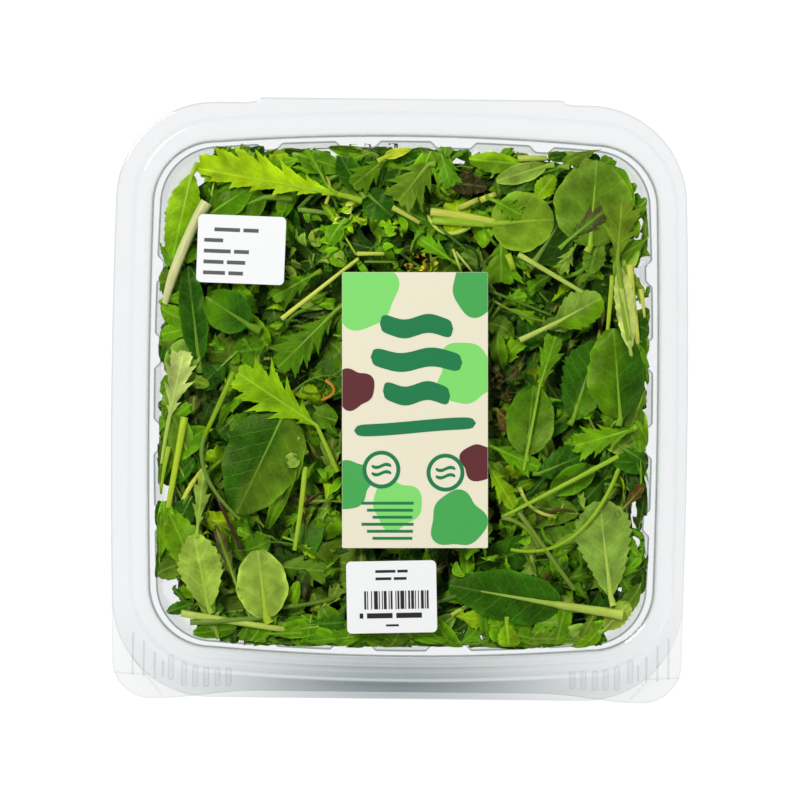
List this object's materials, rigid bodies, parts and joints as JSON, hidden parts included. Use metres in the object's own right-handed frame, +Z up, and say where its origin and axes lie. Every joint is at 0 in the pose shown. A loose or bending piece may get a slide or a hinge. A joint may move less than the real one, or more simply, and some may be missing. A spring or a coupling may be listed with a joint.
{
  "type": "clear hinged box of salad leaves",
  "caption": "Square clear plastic box with a hinged lid, shut, filled with mixed salad leaves, with paper labels on the lid.",
  "frame": {"origin": "on the surface the box stands on, under the middle of its bounding box", "axes": "+Z up, +X to the right seen from the front, +Y towards the hinge at the back"},
  "size_m": [0.1884, 0.197, 0.078],
  "materials": {
    "tub_film": "clear thermoformed sheet, glossy",
    "lid_film": "clear thermoformed sheet, glossy",
    "leaves": "fresh leaves, satin, mixed greens",
    "label_print": "printed sticker, slight sheen",
    "label_paper": "white sticker, slight sheen"
  },
  "bodies": {
    "tub": {"tub": "tub_film", "salad": "leaves"},
    "lid": {"lid": "lid_film", "label_main": "label_print", "label_contents": "label_paper", "label_barcode": "label_paper"}
  },
  "joints": [
    {"name": "lid_hinge", "type": "hinge", "parent": "tub", "child": "lid", "pos_m": [0, 0.0987, 0.07395], "axis": [-1, 0, 0], "range_deg": [0, 180]}
  ]
}
